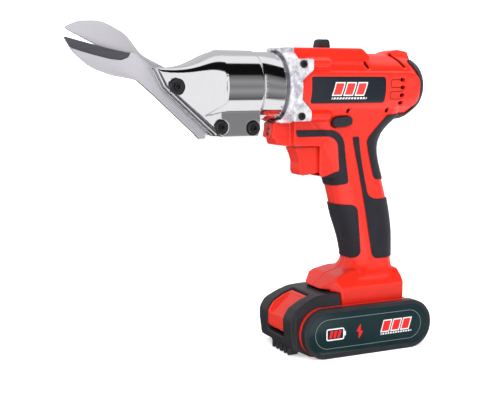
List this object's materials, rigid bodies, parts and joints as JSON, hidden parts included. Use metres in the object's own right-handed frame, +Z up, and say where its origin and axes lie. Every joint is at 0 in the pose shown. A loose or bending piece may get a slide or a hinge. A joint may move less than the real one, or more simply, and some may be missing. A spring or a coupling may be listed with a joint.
{
  "type": "cordless power shear",
  "caption": "Cordless pistol-grip power shear: rocking upper blade over a fixed lower blade on a cast head, slide-on battery pack as its foot.",
  "frame": {"origin": "centre of the battery pack's flat underside", "axes": "+Z up; -X forward, where the blades point; +Y to the tool's right side"},
  "size_m": [0.2943, 0.076, 0.2552],
  "materials": {
    "red_plastic": "satin",
    "black_rubber": "matte",
    "black_plastic": "satin",
    "nameplate": "satin",
    "cast_aluminium": "matte",
    "chrome": "polished",
    "blade_steel": "brushed",
    "black_steel": "satin",
    "gear_steel": "satin",
    "motor_steel": "satin",
    "magnet": "matte",
    "lens": "gloss",
    "label": "gloss",
    "cell_wrap": "satin",
    "board": "satin",
    "lead": "satin"
  },
  "bodies": {
    "tool_body": {"left_housing": "red_plastic", "right_housing": "red_plastic", "left_trigger_stripe": "black_rubber", "left_front_pad": "black_rubber", "left_rear_pad": "black_rubber", "left_back_strip": "black_rubber", "right_trigger_stripe": "black_rubber", "right_front_pad": "black_rubber", "right_rear_pad": "black_rubber", "right_back_strip": "black_rubber", "left_nameplate": "nameplate", "right_nameplate": "nameplate", "housing_screws": "black_steel", "switch_module": "black_plastic", "led_lamp": "lens", "gearbox_flange": "cast_aluminium", "flange_screws": "black_steel", "gearbox_collar": "chrome", "output_bearing": "gear_steel", "left_head_casting": "chrome", "right_head_casting": "chrome", "clamp_bolts": "black_steel", "pivot_bolt": "black_steel", "pivot_nut": "black_steel", "lower_blade": "blade_steel", "first_ring_gear": "gear_steel", "gearbox_case": "cast_aluminium", "motor_can": "motor_steel", "motor_end_cap": "black_plastic", "motor_magnets": "magnet", "power_leads": "lead", "terminal_block": "black_plastic"},
    "moving_blade": {"upper_blade": "blade_steel"},
    "motor_rotor": {"rotor": "motor_steel", "motor_pinion": "gear_steel"},
    "carrier_one": {"first_carrier": "gear_steel"},
    "crankshaft": {"second_carrier": "gear_steel", "eccentric_shaft": "gear_steel", "eccentric_bearing": "gear_steel"},
    "speed_selector": {"speed_knob": "black_plastic", "selector_fork": "gear_steel", "second_ring_gear": "gear_steel"},
    "direction_button": {"reverse_button": "black_plastic"},
    "trigger": {"trigger": "red_plastic"},
    "battery": {"battery_case": "black_plastic", "left_side_cap": "black_plastic", "right_side_cap": "black_plastic", "left_label": "label", "right_label": "label", "left_bumper_ring": "red_plastic", "right_bumper_ring": "red_plastic", "battery_cells": "cell_wrap", "charge_board": "board"},
    "battery_latch": {"latch_button": "red_plastic"},
    "first_planet_1": {"first_planet_1": "gear_steel"},
    "first_planet_2": {"first_planet_2": "gear_steel"},
    "first_planet_3": {"first_planet_3": "gear_steel"},
    "second_planet_1": {"second_planet_1": "gear_steel"},
    "second_planet_2": {"second_planet_2": "gear_steel"},
    "second_planet_3": {"second_planet_3": "gear_steel"}
  },
  "joints": [
    {"name": "blade_rock", "type": "hinge", "parent": "tool_body", "child": "moving_blade", "pos_m": [-0.1515, 0, 0.209], "axis": [0, -1, 0], "range_deg": [0, 4.5]},
    {"name": "rotor_spin", "type": "hinge", "parent": "tool_body", "child": "motor_rotor", "pos_m": [0.01, 0, 0.209], "axis": [1, 0, 0], "continuous": true},
    {"name": "first_carrier_spin", "type": "hinge", "parent": "tool_body", "child": "carrier_one", "pos_m": [-0.038, 0, 0.209], "axis": [1, 0, 0], "continuous": true},
    {"name": "crankshaft_spin", "type": "hinge", "parent": "tool_body", "child": "crankshaft", "pos_m": [-0.058, 0, 0.209], "axis": [1, 0, 0], "continuous": true},
    {"name": "speed_slide", "type": "slide", "parent": "tool_body", "child": "speed_selector", "axis": [-1, 0, 0], "range_m": [0, 0.005]},
    {"name": "direction_slide", "type": "slide", "parent": "tool_body", "child": "direction_button", "axis": [0, 1, 0], "range_m": [-0.003, 0.003]},
    {"name": "trigger_pull", "type": "slide", "parent": "tool_body", "child": "trigger", "axis": [1, 0, 0], "range_m": [0, 0.007], "stiffness_N_per_m": 900, "springref_m": -0.004},
    {"name": "battery_slide", "type": "slide", "parent": "tool_body", "child": "battery", "axis": [-1, 0, 0], "range_m": [0, 0.1]},
    {"name": "latch_press", "type": "slide", "parent": "battery", "child": "battery_latch", "axis": [0, 0, -1], "range_m": [0, 0.0025], "stiffness_N_per_m": 1500, "springref_m": -0.002},
    {"name": "first_planet_1_spin", "type": "hinge", "parent": "carrier_one", "child": "first_planet_1", "pos_m": [-0.031, 0, 0.19775], "axis": [1, 0, 0], "continuous": true},
    {"name": "first_planet_2_spin", "type": "hinge", "parent": "carrier_one", "child": "first_planet_2", "pos_m": [-0.031, 0.00974, 0.21463], "axis": [1, 0, 0], "continuous": true},
    {"name": "first_planet_3_spin", "type": "hinge", "parent": "carrier_one", "child": "first_planet_3", "pos_m": [-0.031, -0.00974, 0.21463], "axis": [1, 0, 0], "continuous": true},
    {"name": "second_planet_1_spin", "type": "hinge", "parent": "crankshaft", "child": "second_planet_1", "pos_m": [-0.0505, 0, 0.19775], "axis": [1, 0, 0], "continuous": true},
    {"name": "second_planet_2_spin", "type": "hinge", "parent": "crankshaft", "child": "second_planet_2", "pos_m": [-0.0505, 0.00974, 0.21463], "axis": [1, 0, 0], "continuous": true},
    {"name": "second_planet_3_spin", "type": "hinge", "parent": "crankshaft", "child": "second_planet_3", "pos_m": [-0.0505, -0.00974, 0.21463], "axis": [1, 0, 0], "continuous": true}
  ],
  "couplings": [
    {"joint": "first_carrier_spin", "follows": "rotor_spin", "ratio": 0.2},
    {"joint": "crankshaft_spin", "follows": "rotor_spin", "ratio": 0.04},
    {"joint": "first_planet_1_spin", "follows": "rotor_spin", "ratio": -0.53333},
    {"joint": "first_planet_2_spin", "follows": "rotor_spin", "ratio": -0.53333},
    {"joint": "first_planet_3_spin", "follows": "rotor_spin", "ratio": -0.53333},
    {"joint": "second_planet_1_spin", "follows": "rotor_spin", "ratio": -0.10667},
    {"joint": "second_planet_2_spin", "follows": "rotor_spin", "ratio": -0.10667},
    {"joint": "second_planet_3_spin", "follows": "rotor_spin", "ratio": -0.10667}
  ]
}
